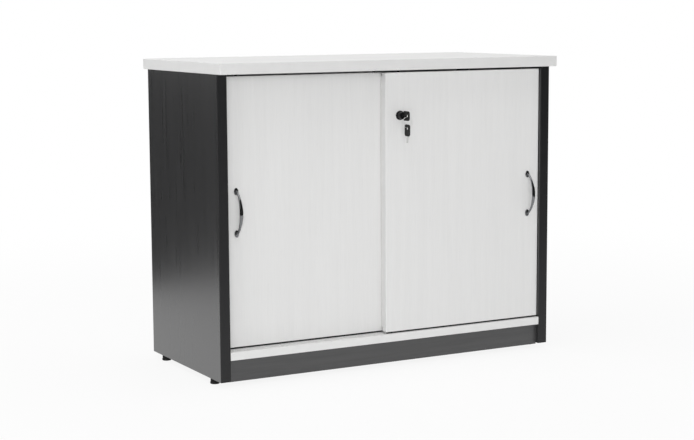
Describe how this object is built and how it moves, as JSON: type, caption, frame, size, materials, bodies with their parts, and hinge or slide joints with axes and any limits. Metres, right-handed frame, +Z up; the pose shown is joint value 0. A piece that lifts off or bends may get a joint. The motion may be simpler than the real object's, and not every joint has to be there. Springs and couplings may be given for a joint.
{
  "type": "sliding door cabinet",
  "caption": "Low office cabinet with a pale overhanging top, charcoal sides and plinth, and two lapping pale sliding doors with bow handles, a push lock and a hanging spare key.",
  "frame": {"origin": "on the floor under the middle of the cabinet with its keys", "axes": "+Z up, +X to the right of someone facing the doors, and the doors face -Y"},
  "size_m": [0.9, 0.4615, 0.73],
  "materials": {
    "white_board": "satin melamine",
    "white_edging": "satin",
    "charcoal_board": "satin melamine with fine grain",
    "charcoal_edging": "satin",
    "black_plastic": "moulded",
    "white_nylon": "moulded",
    "dark_chrome": "polished",
    "black_lock": "satin black",
    "bright_steel": "bright",
    "zinc": "die cast",
    "beech": "plain"
  },
  "bodies": {
    "carcass": {"top_edge_bands": "white_edging", "side_edge_bands": "charcoal_edging", "base_edge_band": "white_edging", "shelf_edge_band": "white_edging", "bottom_track": "white_nylon", "top_track": "black_plastic", "cam_housings": "zinc", "cam_bolts": "bright_steel", "wood_dowels": "beech", "shelf_pins": "bright_steel", "foot_inserts": "bright_steel", "top_panel": "white_board", "left_side_panel": "charcoal_board", "right_side_panel": "charcoal_board", "base_panel": "white_board", "shelf": "white_board", "kickboard": "charcoal_board", "back_panel": "white_board"},
    "front_left_foot_body": {"front_left_foot": "black_plastic"},
    "front_right_foot_body": {"front_right_foot": "black_plastic"},
    "rear_left_foot_body": {"rear_left_foot": "black_plastic"},
    "rear_right_foot_body": {"rear_right_foot": "black_plastic"},
    "left_door": {"left_door_panel": "white_board", "left_door_edge_bands": "white_edging", "left_door_handle": "dark_chrome", "left_door_handle_screws": "bright_steel", "left_door_roller_housings": "white_nylon", "left_door_roller_axles": "bright_steel", "left_door_guide_sleeves": "white_nylon", "left_door_left_guide_spring": "bright_steel", "left_door_right_guide_spring": "bright_steel", "lock_keeper": "bright_steel", "lock_keeper_screws": "bright_steel"},
    "right_door": {"right_door_panel": "white_board", "right_door_edge_bands": "white_edging", "right_door_handle": "dark_chrome", "right_door_handle_screws": "bright_steel", "right_door_roller_housings": "white_nylon", "right_door_roller_axles": "bright_steel", "right_door_guide_sleeves": "white_nylon", "right_door_left_guide_spring": "bright_steel", "right_door_right_guide_spring": "bright_steel", "lock_housing": "black_lock", "lock_spring": "bright_steel"},
    "left_door_left_wheel_body": {"left_door_left_wheel": "white_nylon"},
    "left_door_left_guide_pin_body": {"left_door_left_guide_pin": "black_plastic"},
    "left_door_right_wheel_body": {"left_door_right_wheel": "white_nylon"},
    "left_door_right_guide_pin_body": {"left_door_right_guide_pin": "black_plastic"},
    "right_door_left_wheel_body": {"right_door_left_wheel": "white_nylon"},
    "right_door_left_guide_pin_body": {"right_door_left_guide_pin": "black_plastic"},
    "right_door_right_wheel_body": {"right_door_right_wheel": "white_nylon"},
    "right_door_right_guide_pin_body": {"right_door_right_guide_pin": "black_plastic"},
    "lock_plunger": {"lock_barrel": "black_lock"},
    "turning_key": {"lock_rotor": "bright_steel", "lock_key_blade": "bright_steel", "lock_key_bow": "black_plastic"},
    "ring": {"key_ring": "bright_steel"},
    "spare_key": {"spare_key_blade": "bright_steel", "spare_key_bow": "black_plastic"}
  },
  "joints": [
    {"name": "left_door_slide", "type": "slide", "parent": "carcass", "child": "left_door", "axis": [1, 0, 0], "range_m": [0, 0.365]},
    {"name": "right_door_slide", "type": "slide", "parent": "carcass", "child": "right_door", "axis": [1, 0, 0], "range_m": [-0.365, 0]},
    {"name": "left_door_left_wheel_roll", "type": "hinge", "parent": "left_door", "child": "left_door_left_wheel_body", "pos_m": [-0.361, -0.149, 0.0895], "axis": [0, 1, 0], "range_deg": [0, 1252.3]},
    {"name": "left_door_left_guide_pin_press", "type": "slide", "parent": "left_door", "child": "left_door_left_guide_pin_body", "axis": [0, 0, -1], "range_m": [0, 0.008], "stiffness_N_per_m": 500, "springref_m": -0.004, "deforming": ["left_door_left_guide_spring"]},
    {"name": "left_door_right_wheel_roll", "type": "hinge", "parent": "left_door", "child": "left_door_right_wheel_body", "pos_m": [-0.046, -0.149, 0.0895], "axis": [0, 1, 0], "range_deg": [0, 1252.3]},
    {"name": "left_door_right_guide_pin_press", "type": "slide", "parent": "left_door", "child": "left_door_right_guide_pin_body", "axis": [0, 0, -1], "range_m": [0, 0.008], "stiffness_N_per_m": 500, "springref_m": -0.004, "deforming": ["left_door_right_guide_spring"]},
    {"name": "right_door_left_wheel_roll", "type": "hinge", "parent": "right_door", "child": "right_door_left_wheel_body", "pos_m": [0.046, -0.175, 0.0895], "axis": [0, 1, 0], "range_deg": [-1252.3, 0]},
    {"name": "right_door_left_guide_pin_press", "type": "slide", "parent": "right_door", "child": "right_door_left_guide_pin_body", "axis": [0, 0, -1], "range_m": [0, 0.008], "stiffness_N_per_m": 500, "springref_m": -0.004, "deforming": ["right_door_left_guide_spring"]},
    {"name": "right_door_right_wheel_roll", "type": "hinge", "parent": "right_door", "child": "right_door_right_wheel_body", "pos_m": [0.361, -0.175, 0.0895], "axis": [0, 1, 0], "range_deg": [-1252.3, 0]},
    {"name": "right_door_right_guide_pin_press", "type": "slide", "parent": "right_door", "child": "right_door_right_guide_pin_body", "axis": [0, 0, -1], "range_m": [0, 0.008], "stiffness_N_per_m": 500, "springref_m": -0.004, "deforming": ["right_door_right_guide_spring"]},
    {"name": "lock_push", "type": "slide", "parent": "right_door", "child": "lock_plunger", "axis": [0, 1, 0], "range_m": [0, 0.0065], "stiffness_N_per_m": 400, "springref_m": -0.005, "deforming": ["lock_spring"]},
    {"name": "key_turn", "type": "hinge", "parent": "lock_plunger", "child": "turning_key", "pos_m": [0.0245, -0.184, 0.5985], "axis": [0, 1, 0], "range_deg": [0, 60]},
    {"name": "key_ring_swing", "type": "hinge", "parent": "turning_key", "child": "ring", "pos_m": [0.0245, -0.2182, 0.5944], "axis": [0, 1, 0], "range_deg": [-60, 60]},
    {"name": "spare_key_swing", "type": "hinge", "parent": "ring", "child": "spare_key", "pos_m": [0.0245, -0.2182, 0.5716], "axis": [1, 0, 0], "range_deg": [-30, 30]},
    {"name": "front_left_foot_level", "type": "slide", "parent": "carcass", "child": "front_left_foot_body", "axis": [0, 0, -1], "range_m": [0, 0.012]},
    {"name": "front_right_foot_level", "type": "slide", "parent": "carcass", "child": "front_right_foot_body", "axis": [0, 0, -1], "range_m": [0, 0.012]},
    {"name": "rear_left_foot_level", "type": "slide", "parent": "carcass", "child": "rear_left_foot_body", "axis": [0, 0, -1], "range_m": [0, 0.012]},
    {"name": "rear_right_foot_level", "type": "slide", "parent": "carcass", "child": "rear_right_foot_body", "axis": [0, 0, -1], "range_m": [0, 0.012]}
  ],
  "couplings": [
    {"joint": "left_door_left_wheel_roll", "follows": "left_door_slide", "rad_per_m": 59.88},
    {"joint": "left_door_right_wheel_roll", "follows": "left_door_slide", "rad_per_m": 59.88},
    {"joint": "right_door_left_wheel_roll", "follows": "right_door_slide", "rad_per_m": 59.88},
    {"joint": "right_door_right_wheel_roll", "follows": "right_door_slide", "rad_per_m": 59.88}
  ]
}
